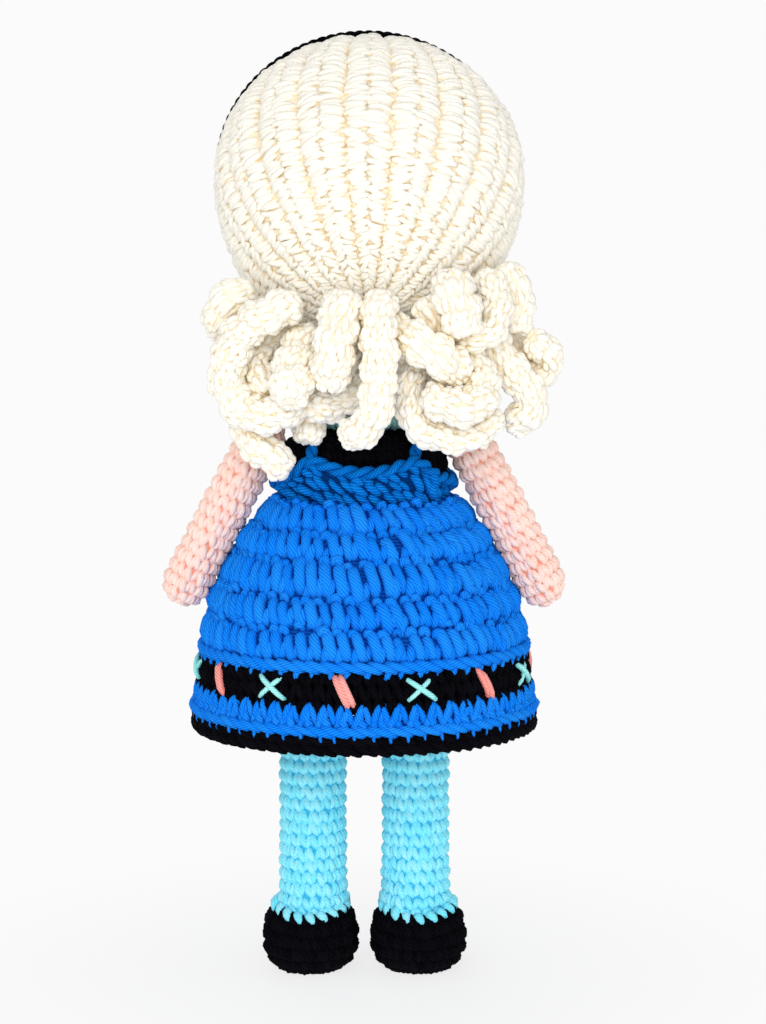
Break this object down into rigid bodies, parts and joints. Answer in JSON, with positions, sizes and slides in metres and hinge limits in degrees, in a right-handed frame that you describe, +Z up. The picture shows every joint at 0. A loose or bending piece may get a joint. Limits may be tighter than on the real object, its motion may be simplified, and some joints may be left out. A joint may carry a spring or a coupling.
{
  "type": "stuffed doll",
  "caption": "Crocheted, stuffed doll in a blue bell-skirted dress with a black band, cream ribbed hair with ringlet curls and a thin headband, standing on flat black shoes.",
  "frame": {"origin": "middle of the bounding box's bottom face, on the floor between the shoes", "axes": "+Z up from the floor to the crown, -Y the way the doll faces, +X towards the doll's left hand"},
  "size_m": [0.1486, 0.129, 0.3492],
  "materials": {
    "black_yarn": "black cotton-blend yarn, matt",
    "skin_yarn": "pale peach yarn, matt",
    "dress_yarn": "bright blue plied yarn, slight sheen",
    "bodice_yarn": "deeper blue plied yarn",
    "tights_yarn": "light blue yarn, matt",
    "collar_yarn": "grey-green yarn, matt",
    "hair_yarn": "cream yarn, matt",
    "eye_plastic": "black moulded plastic, glossy",
    "washer_plastic": "white moulded plastic, matt",
    "insole_plastic": "stiff brown plastic sheet"
  },
  "bodies": {
    "body": {"left_shoe": "black_yarn", "right_shoe": "black_yarn", "left_insole": "insole_plastic", "right_insole": "insole_plastic", "left_leg": "tights_yarn", "right_leg": "tights_yarn", "hips": "tights_yarn", "torso": "black_yarn", "neck": "skin_yarn", "bodice": "bodice_yarn", "left_strap": "bodice_yarn", "right_strap": "bodice_yarn", "collar": "collar_yarn", "skirt_upper": "dress_yarn", "skirt_band": "black_yarn", "skirt_lower_round": "dress_yarn", "skirt_hem": "black_yarn"},
    "left_arm": {"left_arm": "skin_yarn"},
    "right_arm": {"right_arm": "skin_yarn"},
    "head": {"head": "skin_yarn", "left_eye": "eye_plastic", "right_eye": "eye_plastic", "left_eye_washer": "washer_plastic", "right_eye_washer": "washer_plastic", "hair_cap": "hair_yarn", "headband": "black_yarn", "ringlet_back_middle": "hair_yarn", "ringlet_back_left": "hair_yarn", "ringlet_back_right": "hair_yarn", "ringlet_hook_right": "hair_yarn", "ringlet_sweep_right": "hair_yarn", "ringlet_low_right": "hair_yarn", "ringlet_knob_right": "hair_yarn", "ringlet_loop_right": "hair_yarn", "ringlet_side_right": "hair_yarn", "ringlet_far_right": "hair_yarn", "ringlet_far_left": "hair_yarn", "ringlet_arc_left": "hair_yarn", "ringlet_inner_left": "hair_yarn", "ringlet_tip_left": "hair_yarn", "ringlet_cross_left": "hair_yarn", "ringlet_low_left": "hair_yarn", "ringlet_end_left": "hair_yarn", "ringlet_inner_middle": "hair_yarn", "ringlet_inner_right": "hair_yarn", "ringlet_small_right": "hair_yarn", "ringlet_front_left": "hair_yarn", "ringlet_front_right": "hair_yarn"}
  },
  "joints": [
    {"name": "left_shoulder", "type": "hinge", "parent": "body", "child": "left_arm", "pos_m": [0.03812, 0, 0.19976], "axis": [-1, 0, 0], "range_deg": [-20, 90]},
    {"name": "right_shoulder", "type": "hinge", "parent": "body", "child": "right_arm", "pos_m": [-0.03812, 0, 0.19976], "axis": [-1, 0, 0], "range_deg": [-20, 90]},
    {"name": "head_turn", "type": "hinge", "parent": "body", "child": "head", "pos_m": [-0.002, 0, 0.2326], "axis": [0, 0, 1], "range_deg": [-8, 8], "stiffness_Nm_per_rad": 0.03}
  ]
}
